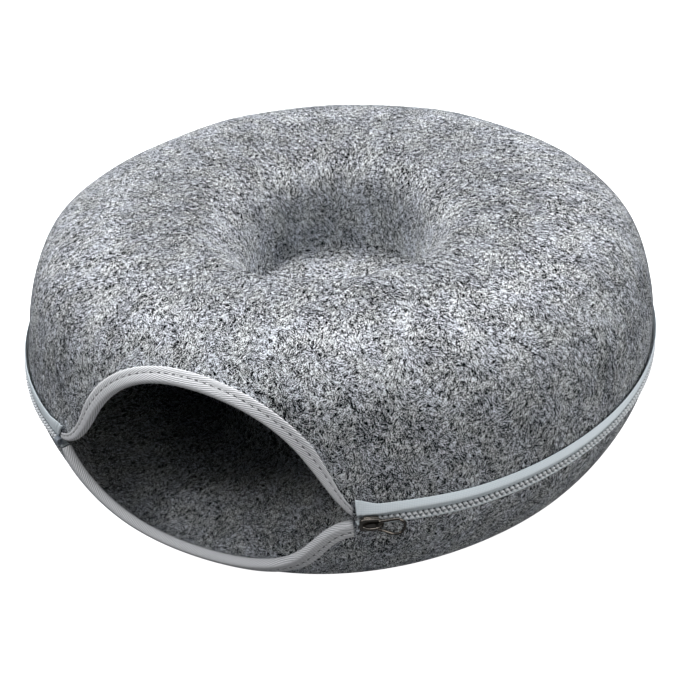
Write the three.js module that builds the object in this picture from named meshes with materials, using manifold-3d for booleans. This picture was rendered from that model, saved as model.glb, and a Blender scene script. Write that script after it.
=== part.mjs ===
// Donut cat tunnel: two moulded felt halves that a zip closes round the rim, with a
// tape-bound mouth at the front. Millimetres, +Z up. The origin is on the floor under the
// middle of the whole, and the mouth faces -Y. Angles run round the ring's axis, from -Y
// towards +X.

import * as THREE from 'three';
import Module from 'manifold-3d';
import { mergeVertices } from 'three/addons/utils/BufferGeometryUtils.js';

const deg = THREE.MathUtils.degToRad;
const pt = (r, z) => new THREE.Vector2(r, z);

// Felt halves
const FELT = 4;                   // thickness of the moulded felt
const AXIS_Y = -7;                // the ring's axis: the mouth takes away some of the front
const RIM_RADIUS = 247;           // outside of the felt at the zip
const ZIP_HEIGHT = 72;            // middle of the zip above the floor
const RIM_GAP = 10;               // between the two felt edges, bridged by the zip
const CREST_HEIGHT = 178;         // top of the ring
const CREST_RADIUS = 122;         // where the top turns down into the dimple
const DISC_RADIUS = 63.5;         // round seat at the bottom of the dimple
const DISC_HEIGHT = 101;          // edge of that seat
const DISC_CROWN = 2;             // rise of the seat at its middle
const BASE_RADIUS = 212;          // outer edge of the flat underside
const HUB_FOOT_RADIUS = 112;      // where the hub rises out of the floor
const BEND = {                    // how far the curves between these places pull
  hubOut: 22,                     // from the top of the hub outwards
  hubIn: 30,                      // from the foot of the hub inwards
  crestOut: 115,                  // from the crest towards the rim
  rimIn: 9.5,                     // from the rim inwards and up
  rimUp: 80,
};
const STEEPEST = deg(207);        // the dimple's soft wall hangs steepest here, and lies back opposite
const DIMPLE_BEND = {             // the same for that wall, where it lies back and where it is steepest
  discOut: [14, 2.5],             // from the seat's crease outwards and up
  discUp: [11, 57],
  crestIn: [30, 60],              // from the crest towards the dimple
};
const ASIDE = {                   // the soft shoulder stands a little aside of the rim and the crest
  by: 3,
  towards: deg(117),
  from: 110,                      // full between these heights
  to: 125,
};
const FULLNESS = 0.29;            // roundness of the lower wall
const LIP_FULLNESS = 0.48;        // the same in front, where the lip is spread out
const LIP_CENTRE = deg(3);
const LIP_SPREAD = [deg(15), deg(55)];  // on each side it is full up to here, and fades out by there
const LIFT = {                    // the soft wall is pulled up at the mouth's right corner
  by: 2.2,
  mouth: 70,                      // how far that reaches along the rim, towards the mouth
  hold: 24,                       // and away from it: as far as the slider, then fading out
  rim: 90,
  level: 10,                      // the same up and down from the zip
  height: 50,
  inside: 180,                    // and from this radius out to that
  outside: 235,
};

// Mouth, drawn unrolled on the rim: distance along the rim, height above the floor. Each
// edge is two curves from the corners to the middle, with a handle near the corner and one
// near the middle. The soft felt pulls the cut askew, so its two sides differ.
const MOUTH_HALF = 119;
const ARCH = { middle: 156, left: [pt(-78, 84), pt(-92, 156)], right: [pt(90, 104), pt(84, 156)] };
const LIP = { middle: 15, left: [pt(-102, 46), pt(-84, 17)], right: [pt(84, 64), pt(92, 8)] };

// Binding and zip
const GAP = 0.3;                  // between neighbouring pieces
const BINDING = 1.2;              // thickness of the twill binding
const BINDING_WIDTH = 9;          // how far it reaches over each face of the felt
const TAPER = { by: 0.6, over: 35 };  // the arch's binding narrows by this share towards the corners
const BINDING_NOSE = 0.8;         // roundness of its fold
const TAPE = 1.5;                 // thickness of the zip's tapes
const TAPE_WIDTH = { upper: 6, lower: 2 };
const CHAIN_RADIUS = 248.5;
const CHAIN_HALF = { height: 2.9, depth: 2.2 };
const CHAIN_CHAMFER = { height: 1.5, depth: 1.0 };
const SLIDER_LENGTH = 16;

// Facets
const MOUTH_STEPS = 10;           // from the middle of the mouth to its corner
const RING_STEPS = 40;            // round the rest of the rim
const SEAT_ROWS = 2;
const DIMPLE_ROWS = 8;
const HUB_ROWS = 6;
const FLOOR_ROWS = 2;
const UPPER_WALL_ROWS = 7;
const LOWER_WALL_ROWS = 4;

const MOUTH_ANGLE = MOUTH_HALF / RIM_RADIUS;
const UPPER_RIM = ZIP_HEIGHT + RIM_GAP / 2;
const LOWER_RIM = ZIP_HEIGHT - RIM_GAP / 2;

// How far a point rises with the mouth's right corner.
function lift(angle, r, z) {
  const fade = THREE.MathUtils.smoothstep;
  const turn = angle - MOUTH_ANGLE;
  const along = Math.atan2(Math.sin(turn), Math.cos(turn)) * RIM_RADIUS;
  const side = along < 0 ? fade(-along, 0, LIFT.mouth) : fade(along, LIFT.hold, LIFT.rim);
  const away = fade(Math.abs(z - ZIP_HEIGHT), LIFT.level, LIFT.height);
  return LIFT.by * (1 - side) * (1 - away) * fade(r, LIFT.inside, LIFT.outside);
}

// A point at an angle, radius and height, with the shoulder's shift aside and that lift.
function place(angle, { x: r, y: z }) {
  const rise = THREE.MathUtils.smoothstep(z, ZIP_HEIGHT, ASIDE.from);
  const fall = THREE.MathUtils.smoothstep(z, ASIDE.to, CREST_HEIGHT);
  const shift = ASIDE.by * rise * (1 - fall);
  return new THREE.Vector3(
    r * Math.sin(angle) + shift * Math.sin(ASIDE.towards),
    AXIS_Y - r * Math.cos(angle) - shift * Math.cos(ASIDE.towards),
    z + lift(angle, r, z),
  );
}

// Closed solid of a skin with two faces: each column lists the points of its front face
// and, beside them, those of its back face. A ring of columns closes on itself, and an
// open run gets end faces. Each quad is split on its shorter diagonal, so that pieces that
// lie on each other have the same facets, and one that shrinks to a line is left out.
function skinSolid(columns, ring) {
  const rows = columns[0].front.length;
  const size = 2 * rows;
  const points = columns.flatMap(({ front, back }) => [...front, ...back]);
  const index = [];
  const triangle = (...corners) => {
    const [a, b, c] = corners.map((k) => points[k]);
    if (a.distanceTo(b) > 1e-6 && b.distanceTo(c) > 1e-6 && c.distanceTo(a) > 1e-6) {
      index.push(...corners);
    }
  };
  const quad = (a, b, c, d) => {
    if (points[a].distanceTo(points[c]) <= points[b].distanceTo(points[d])) {
      triangle(a, b, c);
      triangle(a, c, d);
    } else {
      triangle(a, b, d);
      triangle(b, c, d);
    }
  };
  const runs = ring ? columns.length : columns.length - 1;
  for (let i = 0; i < runs; i += 1) {
    const here = i * size;
    const next = ((i + 1) % columns.length) * size;
    for (let k = 0; k < rows - 1; k += 1) {
      quad(here + k, here + k + 1, next + k + 1, next + k);
      quad(here + rows + k, next + rows + k, next + rows + k + 1, here + rows + k + 1);
    }
    quad(here, next, next + rows, here + rows);
    quad(here + rows - 1, here + size - 1, next + size - 1, next + rows - 1);
  }
  if (!ring) {
    const last = (columns.length - 1) * size;
    for (let k = 0; k < rows - 1; k += 1) {
      quad(k, rows + k, rows + k + 1, k + 1);
      quad(last + k, last + k + 1, last + rows + k + 1, last + rows + k);
    }
  }
  const geometry = new THREE.BufferGeometry().setFromPoints(points);
  geometry.setIndex(index);
  geometry.computeVertexNormals();
  return geometry;
}

// Meridians of the two halves: the outside of the felt from the axis to the rim, as
// curves in radius and height. The last curve is the wall that the mouth is cut in.
const seat = (drop) => new THREE.CubicBezierCurve(
  pt(0, DISC_HEIGHT + DISC_CROWN - drop),
  pt(DISC_RADIUS / 2, DISC_HEIGHT + DISC_CROWN - drop),
  pt(DISC_RADIUS / 2, DISC_HEIGHT - drop),
  pt(DISC_RADIUS, DISC_HEIGHT - drop),
);

function dimpleWall(angle) {
  const steep = (1 + Math.cos(angle - STEEPEST)) / 2;
  const pull = ([least, most]) => THREE.MathUtils.lerp(least, most, steep);
  return new THREE.CubicBezierCurve(
    pt(DISC_RADIUS, DISC_HEIGHT),
    pt(DISC_RADIUS + pull(DIMPLE_BEND.discOut), DISC_HEIGHT + pull(DIMPLE_BEND.discUp)),
    pt(CREST_RADIUS - pull(DIMPLE_BEND.crestIn), CREST_HEIGHT),
    pt(CREST_RADIUS, CREST_HEIGHT),
  );
}

const domeWall = new THREE.CubicBezierCurve(
  pt(CREST_RADIUS, CREST_HEIGHT),
  pt(CREST_RADIUS + BEND.crestOut, CREST_HEIGHT),
  pt(RIM_RADIUS - BEND.rimIn, ZIP_HEIGHT + BEND.rimUp),
  pt(RIM_RADIUS, ZIP_HEIGHT),
);

const HUB_DROP = 2 * FELT + GAP;  // the hub's felt lies just under the seat's
const hubWall = new THREE.CubicBezierCurve(
  pt(DISC_RADIUS, DISC_HEIGHT - HUB_DROP),
  pt(DISC_RADIUS + BEND.hubOut, DISC_HEIGHT - HUB_DROP),
  pt(HUB_FOOT_RADIUS - BEND.hubIn, 0),
  pt(HUB_FOOT_RADIUS, 0),
);

const floor = new THREE.LineCurve(pt(HUB_FOOT_RADIUS, 0), pt(BASE_RADIUS, 0));

function dishWall(angle) {
  const beside = angle - LIP_CENTRE;
  const turn = Math.abs(Math.atan2(Math.sin(beside), Math.cos(beside)));
  const lip = 1 - THREE.MathUtils.smoothstep(turn, ...LIP_SPREAD);
  const fullness = FULLNESS + (LIP_FULLNESS - FULLNESS) * lip;
  return new THREE.CubicBezierCurve(
    pt(BASE_RADIUS, 0),
    pt(BASE_RADIUS + fullness * (RIM_RADIUS - BASE_RADIUS), 0),
    pt(RIM_RADIUS, LOWER_RIM * (1 - fullness)),
    pt(RIM_RADIUS, LOWER_RIM),
  );
}

function mouthEdge(cut, rim) {
  const middle = pt(0, cut.middle);
  return {
    left: new THREE.CubicBezierCurve(pt(-MOUTH_HALF, rim), ...cut.left, middle),
    right: new THREE.CubicBezierCurve(pt(MOUTH_HALF, rim), ...cut.right, middle),
  };
}

const halves = {
  upper: {
    lead: (angle) => [[seat(0), SEAT_ROWS], [dimpleWall(angle), DIMPLE_ROWS]],
    wall: () => domeWall,
    wallRows: UPPER_WALL_ROWS,
    rim: UPPER_RIM,
    outward: 1,
    mouth: mouthEdge(ARCH, UPPER_RIM),
    tapeWidth: TAPE_WIDTH.upper,
    taper: TAPER.by,
  },
  lower: {
    lead: () => [[seat(HUB_DROP), SEAT_ROWS], [hubWall, HUB_ROWS], [floor, FLOOR_ROWS]],
    wall: dishWall,
    wallRows: LOWER_WALL_ROWS,
    rim: LOWER_RIM,
    outward: -1,
    mouth: mouthEdge(LIP, LOWER_RIM),
    tapeWidth: TAPE_WIDTH.lower,
    taper: 0,
  },
};

// Length along a wall curve to a given height.
function lengthToHeight(curve, height) {
  const rising = curve.getPointAt(1).y > curve.getPointAt(0).y;
  let [low, high] = [0, 1];
  for (let k = 0; k < 40; k += 1) {
    const middle = (low + high) / 2;
    const short = rising ? curve.getPointAt(middle).y < height : curve.getPointAt(middle).y > height;
    [low, high] = short ? [middle, high] : [low, middle];
  }
  return low * curve.getLength();
}

// Outward normal of a half's felt, in radius and height, from the meridian's tangent.
const normalOf = (tangent, outward) => pt(-tangent.y, tangent.x).multiplyScalar(outward);

// One row of felt: its angle, its point on the outside and the normal there.
function feltRow(half, angle, curve, at, byLength) {
  const point = byLength ? curve.getPointAt(at / curve.getLength()) : curve.getPoint(at);
  const tangent = byLength ? curve.getTangentAt(at / curve.getLength()) : curve.getTangent(at);
  return { angle, point, normal: normalOf(tangent, half.outward) };
}

// Normal where two curves meet, lengthened so that the felt keeps its thickness in a crease.
function mitre(half, before, after) {
  const sum = normalOf(before.getTangent(1), half.outward).add(normalOf(after.getTangent(0), half.outward));
  return sum.multiplyScalar(2 / sum.lengthSq());
}

// A row's point moved off the felt's outside along the normal.
const offset = ({ angle, point, normal }, by) => place(angle, point.clone().addScaledVector(normal, by));

// Columns of a half round the whole ring: across the mouth they end on its cut edge, and
// elsewhere on the rim. The band is the strip along the edge that binding or tape covers.
function feltColumns(half) {
  const edges = [];
  for (let k = -MOUTH_STEPS; k <= MOUTH_STEPS; k += 1) {
    const side = k < 0 ? half.mouth.left : half.mouth.right;
    const cut = side.getPoint(1 - Math.abs(k) / MOUTH_STEPS);
    edges.push({ angle: cut.x / RIM_RADIUS, height: cut.y, mouth: true });
  }
  for (let k = 1; k < RING_STEPS; k += 1) {
    const angle = MOUTH_ANGLE + k * (2 * Math.PI - 2 * MOUTH_ANGLE) / RING_STEPS;
    edges.push({ angle, height: half.rim, mouth: false });
  }
  const columns = edges.map((edge) => {
    const wall = half.wall(edge.angle);
    return { ...edge, wall, length: lengthToHeight(wall, edge.height) };
  });
  const corner = 2 * MOUTH_STEPS;
  columns.forEach((column, k) => {
    let slope = 0;
    if (column.mouth) {
      const before = columns[Math.max(k - 1, 0)];
      const after = columns[Math.min(k + 1, corner)];
      slope = (after.length - before.length) / ((after.angle - before.angle) * RIM_RADIUS);
    }
    column.slope = slope;
    const toCorner = MOUTH_HALF - Math.abs(column.angle) * RIM_RADIUS;
    const narrowed = 1 - half.taper * (1 - THREE.MathUtils.smoothstep(toCorner, 0, TAPER.over));
    column.band = column.mouth ? narrowed * BINDING_WIDTH * Math.hypot(1, slope) : half.tapeWidth;
  });
  return columns;
}

// The three rows of a column's band: its inner edge, its middle and the felt's edge.
const bandRows = (half, column) => [1, 0.5, 0].map(
  (share) => feltRow(half, column.angle, column.wall, column.length - share * column.band, true),
);

function feltShell(half, columns) {
  return skinSolid(columns.map((column) => {
    const rows = [];
    let before = null;
    for (const [curve, count] of half.lead(column.angle)) {
      for (let k = 0; k < count; k += 1) {
        rows.push(feltRow(half, column.angle, curve, k / count, false));
      }
      if (before) rows.at(-count).normal = mitre(half, before, curve);
      before = curve;
    }
    const reach = column.length - column.band;
    for (let k = 0; k < half.wallRows; k += 1) {
      rows.push(feltRow(half, column.angle, column.wall, k * reach / half.wallRows, true));
    }
    rows.push(...bandRows(half, column));
    const front = rows.map((row) => offset(row, 0));
    const back = rows.map((row) => offset(row, -FELT));
    return half.outward > 0 ? { front, back } : { front: back, back: front };
  }), true);
}

// Binding folded over the cut edge of the mouth: a flange on each face of the felt and a
// rounded fold that stands off the edge, square to the line of the cut.
function binding(half, columns) {
  const cut = columns.filter((column) => column.mouth);
  const edgePoints = cut.map((column) => offset(bandRows(half, column)[2], -FELT / 2));
  return skinSolid(cut.map((column, k) => {
    const [inner, middle, edge] = bandRows(half, column);
    const along = edgePoints[Math.min(k + 1, cut.length - 1)].clone()
      .sub(edgePoints[Math.max(k - 1, 0)]).normalize();
    const normal = offset(edge, 1).sub(offset(edge, 0)).normalize();
    const beyond = along.clone().cross(normal).multiplyScalar(half.outward).normalize();
    const layer = (by, nose) => [
      offset(inner, by),
      offset(middle, by),
      offset(edge, by).addScaledVector(beyond, by),
      offset(edge, -FELT / 2).addScaledVector(beyond, by + nose),
      offset(edge, -FELT - by).addScaledVector(beyond, by),
      offset(middle, -FELT - by),
      offset(inner, -FELT - by),
    ];
    const under = layer(GAP, 0);
    const over = layer(GAP + BINDING, BINDING_NOSE);
    return half.outward > 0 ? { front: over, back: under } : { front: under, back: over };
  }), false);
}

// Angles of a run of zip: its two ends and the felt's own columns between them.
function zipAngles(columns, from, to) {
  const between = columns.map(({ angle }) => angle).filter((angle) => angle > from && angle < to);
  return [from, ...between, to];
}

// Tape of the zip: lies on the outside of the felt's edge and reaches past it to the teeth.
function zipTape(half, columns) {
  const end = MOUTH_ANGLE + 2 * GAP / RIM_RADIUS;
  const reach = RIM_GAP / 2 - CHAIN_HALF.height - GAP;
  return skinSolid(zipAngles(columns, end, 2 * Math.PI - end).map((angle) => {
    const wall = half.wall(angle);
    const column = { angle, wall, length: lengthToHeight(wall, half.rim), band: half.tapeWidth };
    const rows = bandRows(half, column);
    const edge = rows[2];
    const past = { ...edge, point: edge.point.clone().add(pt(0, -half.outward * reach)) };
    const under = [...rows, past].map((row) => offset(row, GAP));
    const over = [...rows, past].map((row) => offset(row, GAP + TAPE));
    return half.outward > 0 ? { front: over, back: under } : { front: under, back: over };
  }), false);
}

// Row of closed teeth, from under the slider round the back to the stop.
const SLIDER_INSET = 3.5;         // from the corner of the mouth to the slider
const SLIDER_ANGLE = MOUTH_ANGLE + (SLIDER_LENGTH / 2 + SLIDER_INSET) / CHAIN_RADIUS;
const POST_TAIL = -4.5;           // end of the slider's post, along the zip from its middle
const STOP_LENGTH = 5;
const STOP_INSET = 1;             // from the other corner to the stop
const STOP_ANGLE = -MOUTH_ANGLE - (STOP_LENGTH / 2 + STOP_INSET) / CHAIN_RADIUS;

function zipChain(columns) {
  const from = SLIDER_ANGLE + (POST_TAIL + GAP) / CHAIN_RADIUS;
  const to = 2 * Math.PI + STOP_ANGLE - (STOP_LENGTH / 2 + GAP) / CHAIN_RADIUS;
  const { height, depth } = CHAIN_HALF;
  const face = (side, angle) => [
    [height, depth - CHAIN_CHAMFER.depth],
    [height - CHAIN_CHAMFER.height, depth],
    [CHAIN_CHAMFER.height - height, depth],
    [-height, depth - CHAIN_CHAMFER.depth],
  ].map(([up, out]) => place(angle, pt(CHAIN_RADIUS + side * out, ZIP_HEIGHT + up)));
  return skinSolid(zipAngles(columns, from, to).map((angle) => (
    { front: face(1, angle), back: face(-1, angle) }
  )), false);
}

// Metal pieces of the zip are drawn in a frame with X along the zip, -Y outwards, Z up.
const wasm = await Module();
wasm.setup();

function toManifold(geometry) {
  const bare = geometry.clone();
  bare.deleteAttribute('normal');
  bare.deleteAttribute('uv');
  const merged = mergeVertices(bare, 1e-4);
  return new wasm.Manifold(new wasm.Mesh({
    numProp: 3,
    vertProperties: new Float32Array(merged.attributes.position.array),
    triVerts: new Uint32Array(merged.index.array),
  }));
}

function joined(geometries) {
  const mesh = geometries.map(toManifold).reduce((whole, piece) => whole.add(piece)).getMesh();
  const geometry = new THREE.BufferGeometry();
  geometry.setAttribute('position', new THREE.BufferAttribute(mesh.vertProperties, 3));
  geometry.setIndex(new THREE.BufferAttribute(mesh.triVerts, 1));
  geometry.computeVertexNormals();
  return geometry;
}

// Flat piece of an outline in X and Z, between two distances out from the teeth's middle.
function plate(shape, inside, outside) {
  const options = { depth: outside - inside, bevelEnabled: false, curveSegments: 6 };
  return new THREE.ExtrudeGeometry(shape, options).translate(0, 0, inside).rotateX(Math.PI / 2);
}

function rectangle(x0, x1, z0, z1) {
  return new THREE.Shape([pt(x0, z0), pt(x1, z0), pt(x1, z1), pt(x0, z1)]);
}

// Slider: two plates on a post, with side flanges over the tapes and a bridge for the pull.
// It is broader at the mouth, where the two rows of teeth part.
const SLIDER = { front: 6.5, tail: 5, flange: 1.3, backHalf: 4.4, postHalf: 2, joint: 0.5 };
const SLIDER_CORNER = { front: 3, tail: 2, up: 2 };
const SLIDER_DEPTHS = { back: [-5.2, -3.4], flange: 0.8, plate: [2.6, 4.4] };
const BACK_INSET = 0.5;           // the back plate and post are a little shorter than the front
const BRIDGE = { start: -5, end: 7.8, wall: 1.8, slant: 1, sill: 4.3, lintel: 6.7, top: 8.2, width: 2.4 };

function sliderOutline() {
  const half = SLIDER_LENGTH / 2;
  const { front, tail } = SLIDER;
  const corner = SLIDER_CORNER;
  const outline = new THREE.Shape();
  outline.moveTo(-half, -front + corner.up);
  outline.quadraticCurveTo(-half, -front, -half + corner.front, -front);
  outline.lineTo(half - corner.tail, -tail);
  outline.quadraticCurveTo(half, -tail, half, -tail + corner.up);
  outline.lineTo(half, tail - corner.up);
  outline.quadraticCurveTo(half, tail, half - corner.tail, tail);
  outline.lineTo(-half + corner.front, front);
  outline.quadraticCurveTo(-half, front, -half, front - corner.up);
  return outline;
}

function bridge() {
  const { start, end, wall, slant, sill, lintel, top, width } = BRIDGE;
  const middle = (start + end) / 2;
  const root = sill - SLIDER.joint;
  const arch = new THREE.Shape();
  arch.moveTo(start, root);
  arch.lineTo(end, root);
  arch.quadraticCurveTo(end, top, middle, top);
  arch.quadraticCurveTo(start, top, start, root);
  arch.holes.push(new THREE.Path([
    pt(start + wall, sill),
    pt(start + wall + slant, lintel),
    pt(end - wall - slant, lintel),
    pt(end - wall, sill),
  ]));
  const options = { depth: width, bevelEnabled: false, curveSegments: 6 };
  return new THREE.ExtrudeGeometry(arch, options).translate(0, 0, -width / 2).rotateX(Math.PI);
}

function slider() {
  const half = SLIDER_LENGTH / 2;
  const { back, flange, plate: cover } = SLIDER_DEPTHS;
  const { front, tail, backHalf, postHalf, joint } = SLIDER;
  const [backStart, backEnd] = [-half + BACK_INSET, half - BACK_INSET];
  const pieces = [
    plate(sliderOutline(), ...cover),
    plate(rectangle(backStart, POST_TAIL, -postHalf, postHalf), back[1] - joint, cover[0] + joint),
    plate(rectangle(backStart, backEnd, -backHalf, backHalf), ...back),
    bridge(),
  ];
  for (const side of [-1, 1]) {
    const [from, to] = [-half + SLIDER_CORNER.front, half - SLIDER_CORNER.tail];
    const ridge = new THREE.Shape([
      pt(from, side * front),
      pt(to, side * tail),
      pt(to, side * (tail - SLIDER.flange)),
      pt(from, side * (front - SLIDER.flange)),
    ]);
    pieces.push(plate(ridge, flange, cover[0] + joint));
  }
  return joined(pieces);
}

// Pull: a flat wire loop, hung in the bridge near its tail, that widens away from it.
const PULL = { at: 3.9, length: 17, near: 4.2, far: 5.8, wire: 1.5, inside: 4.75, outside: 6.25 };
const PULL_DROOP = deg(18);

function pull() {
  const loop = (path, inset) => {
    const near = PULL.near - inset;
    const far = PULL.far - inset;
    const start = inset - PULL.wire / 2;
    const end = PULL.length - inset;
    path.moveTo(start, -near);
    path.lineTo(end - far, -far);
    path.bezierCurveTo(end, -far, end, far, end - far, far);
    path.lineTo(start, near);
    path.closePath();
    return path;
  };
  const outline = loop(new THREE.Shape(), 0);
  outline.holes.push(loop(new THREE.Path(), PULL.wire));
  return plate(outline, PULL.inside, PULL.outside).rotateY(PULL_DROOP).translate(PULL.at, 0, 0);
}

// Stop: a small crimped block that closes the end of the teeth.
const STOP_PROUD = 0.4;           // it is a little thicker than the teeth

function stop() {
  const { height, depth } = CHAIN_HALF;
  const half = STOP_LENGTH / 2;
  const outline = new THREE.Shape();
  outline.moveTo(half, -height);
  outline.lineTo(half, height);
  outline.lineTo(0, height);
  outline.quadraticCurveTo(-half, height, -half, 0);
  outline.quadraticCurveTo(-half, -height, 0, -height);
  return plate(outline, -depth - STOP_PROUD, depth + STOP_PROUD);
}

// Materials
const cloth = (color) => new THREE.MeshStandardMaterial({ color, roughness: 0.95, metalness: 0 });
const felt = cloth(0x85878b);
const twill = cloth(0xa3a3a3);
const zipCloth = cloth(0xbcc6cc);
const toothPlastic = new THREE.MeshStandardMaterial({ color: 0xaeb6ba, roughness: 0.45, metalness: 0 });
const darkMetal = new THREE.MeshStandardMaterial({ color: 0x3a352f, roughness: 0.3, metalness: 1 });

const tunnel = new THREE.Group();

function add(name, geometry, material, angle = null) {
  const mesh = new THREE.Mesh(geometry, material);
  mesh.name = name;
  if (angle !== null) {
    mesh.position.copy(place(angle, pt(CHAIN_RADIUS, ZIP_HEIGHT)));
    mesh.rotation.z = angle;
  }
  tunnel.add(mesh);
}

const upperColumns = feltColumns(halves.upper);
const lowerColumns = feltColumns(halves.lower);
add('upper_shell', feltShell(halves.upper, upperColumns), felt);
add('lower_shell', feltShell(halves.lower, lowerColumns), felt);
add('binding_upper', binding(halves.upper, upperColumns), twill);
add('binding_lower', binding(halves.lower, lowerColumns), twill);
add('zip_tape_upper', zipTape(halves.upper, upperColumns), zipCloth);
add('zip_tape_lower', zipTape(halves.lower, lowerColumns), zipCloth);
add('zip_chain', zipChain(upperColumns), toothPlastic);
add('zip_slider', slider(), darkMetal, SLIDER_ANGLE);
add('zip_pull', pull(), darkMetal, SLIDER_ANGLE);
add('zip_stop', stop(), darkMetal, STOP_ANGLE);

export default tunnel;
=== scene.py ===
import functools
import math

import bmesh
import bpy
import numpy as np
from mathutils import Matrix, Vector, noise


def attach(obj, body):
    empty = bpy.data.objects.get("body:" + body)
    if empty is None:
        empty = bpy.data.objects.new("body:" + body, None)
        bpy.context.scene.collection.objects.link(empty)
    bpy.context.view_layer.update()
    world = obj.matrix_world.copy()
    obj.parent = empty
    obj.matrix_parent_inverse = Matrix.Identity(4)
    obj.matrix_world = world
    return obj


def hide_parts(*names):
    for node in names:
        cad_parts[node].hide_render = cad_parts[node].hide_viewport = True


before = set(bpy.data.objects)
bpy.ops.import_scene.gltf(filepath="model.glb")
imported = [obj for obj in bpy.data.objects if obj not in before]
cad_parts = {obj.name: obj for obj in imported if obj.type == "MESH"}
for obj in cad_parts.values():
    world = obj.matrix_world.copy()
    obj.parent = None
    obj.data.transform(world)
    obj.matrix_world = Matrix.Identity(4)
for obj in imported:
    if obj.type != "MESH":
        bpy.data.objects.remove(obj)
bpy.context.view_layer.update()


# Upper felt half: a round of 4 mm needled polyester felt, pressed hot over a mould into a domed
# ring with a dimple in its middle. The arch of the mouth is cut out of its front, and its rim is
# sewn to the zip.
FELT = 0.004                        # thickness
AXIS_Y = -0.007                     # the ring's axis
RIM_RADIUS = 0.247
ZIP_HEIGHT = 0.072
RIM_GAP = 0.010                     # between the two halves, bridged by the zip
CREST = (0.122, 0.178)              # radius and height of the ring's top
SEAT = (0.0635, 0.101)              # edge of the round seat in the dimple, where the felt creases
SEAT_CROWN = 0.002
SEAT_HANDLE = 0.030                 # radius of both handles of the seat's curve
STEEPEST = math.radians(207)        # the dimple's wall hangs steepest here, and lies back opposite
STEEP = np.array(((0.066, 0.158), (0.062, CREST[1])))       # handles of that wall, going up
LYING_BACK = np.array(((0.0775, 0.112), (0.092, CREST[1])))
DOME_HANDLES = ((0.237, CREST[1]), (0.2375, 0.152))         # of the wall from the crest to the rim
ASIDE = 0.003                       # the soft shoulder stands a little aside of rim and crest
ASIDE_TOWARDS = math.radians(117)
ASIDE_FULL = (0.110, 0.125)         # heights between which it does so fully
SLACK = 0.0022                      # how far the soft wall strays from the mould
SLACK_SPAN = 0.085                  # size of those swells
SLACK_FROM = (0.012, 0.050)         # over the zip: none up to here, and all from there
SLACK_SEED = 14                     # so that the swells are the same each time
LIFT = 0.0022                       # the mouth's right corner is pulled up
LIFT_IN_MOUTH = 0.070               # how far into the mouth that reaches
LIFT_BY_SLIDER = (0.024, 0.090)     # and along the rim: full up to here, and faded out by there
LIFT_OFF_ZIP = (0.010, 0.050)       # the same, up and down from the zip
LIFT_RADIUS = (0.180, 0.235)        # none within the first, and full from the second
MOUTH_HALF = 0.119                  # half the mouth's width, along the rim
MOUTH_ANGLE = MOUTH_HALF / RIM_RADIUS
ARCH_TOP = 0.156
ARCH_LEFT = ((-0.078, 0.084), (-0.092, ARCH_TOP))           # handles of the arch, from its corners
ARCH_RIGHT = ((0.090, 0.104), (0.084, ARCH_TOP))
MOUTH_STEPS = 40                    # columns of points from the middle of the mouth to a corner
RING_STEPS = 176                    # and round the rest of the rim
SEAT_ROWS = 16                      # rows of points over the seat, closer towards its edge
DIMPLE_ROWS = 32                    # up the dimple's wall, closer towards the seat
WALL_ROWS = 36                      # and from the crest to the edge
CARRY_ON = 40                       # a wall's line runs on past its end by this many of its steps
noise.seed_set(SLACK_SEED)


def bezier(*handles, steps=96):
    """Points of a cubic curve, each two numbers."""
    a, b, c, d = (np.array(handle) for handle in handles)
    t = np.linspace(0, 1, steps + 1)[:, None]
    return a * (1 - t) ** 3 + 3 * b * t * (1 - t) ** 2 + 3 * c * t * t * (1 - t) + d * t ** 3


def lengths(line):
    """Distance from the start of a line to each of its points."""
    return np.concatenate([[0], np.cumsum(np.hypot(*np.diff(line, axis=0).T))])


def trace(line):
    """A line with its lengths, and a point that carries it straight on past its end."""
    line = np.concatenate([line, [line[-1] + (line[-1] - line[-2]) * CARRY_ON]])
    return {"run": lengths(line), "r": line[:, 0], "z": line[:, 1]}


def point_at(line, distance):
    """Radius and height of a traced line at a distance from its start."""
    return np.array((np.interp(distance, line["run"], line["r"]),
                     np.interp(distance, line["run"], line["z"])))


def cut_line(rim, left, middle, right):
    """Edge of the mouth from its left corner to its right one: distance along the rim, height."""
    from_left = bezier((-MOUTH_HALF, rim), *left, (0, middle), steps=MOUTH_STEPS)
    from_right = bezier((MOUTH_HALF, rim), *right, (0, middle), steps=MOUTH_STEPS)
    return np.concatenate([from_left, from_right[-2::-1]])


def smooth_step(value, low, high):
    """Rises smoothly from 0 at the low value to 1 at the high one."""
    share = min(1.0, max(0.0, (value - low) / (high - low)))
    return share * share * (3 - 2 * share)


def lift(angle, r, z):
    """How far a point rises with the mouth's right corner: up to the slider, then fading out."""
    turn = angle - MOUTH_ANGLE
    along = math.atan2(math.sin(turn), math.cos(turn)) * RIM_RADIUS
    if along < 0:
        side = smooth_step(-along, 0, LIFT_IN_MOUTH)
    else:
        side = smooth_step(along, *LIFT_BY_SLIDER)
    away = smooth_step(abs(z - ZIP_HEIGHT), *LIFT_OFF_ZIP)
    return LIFT * (1 - side) * (1 - away) * smooth_step(r, *LIFT_RADIUS)


def place(angle, r, z):
    """A point at an angle from -Y towards +X, a radius and a height, as the soft ring stands."""
    shift = ASIDE * float(smooth_step(z, ZIP_HEIGHT, ASIDE_FULL[0])
                          * (1 - smooth_step(z, ASIDE_FULL[1], CREST[1])))
    x = r * math.sin(angle) + shift * math.sin(ASIDE_TOWARDS)
    y = AXIS_Y - r * math.cos(angle) - shift * math.cos(ASIDE_TOWARDS)
    free = float(smooth_step(z - ZIP_HEIGHT, *SLACK_FROM))
    point = Vector((x, y, z + lift(angle, r, z)))
    return point + SLACK * free * noise.noise_vector(point / SLACK_SPAN)


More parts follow.
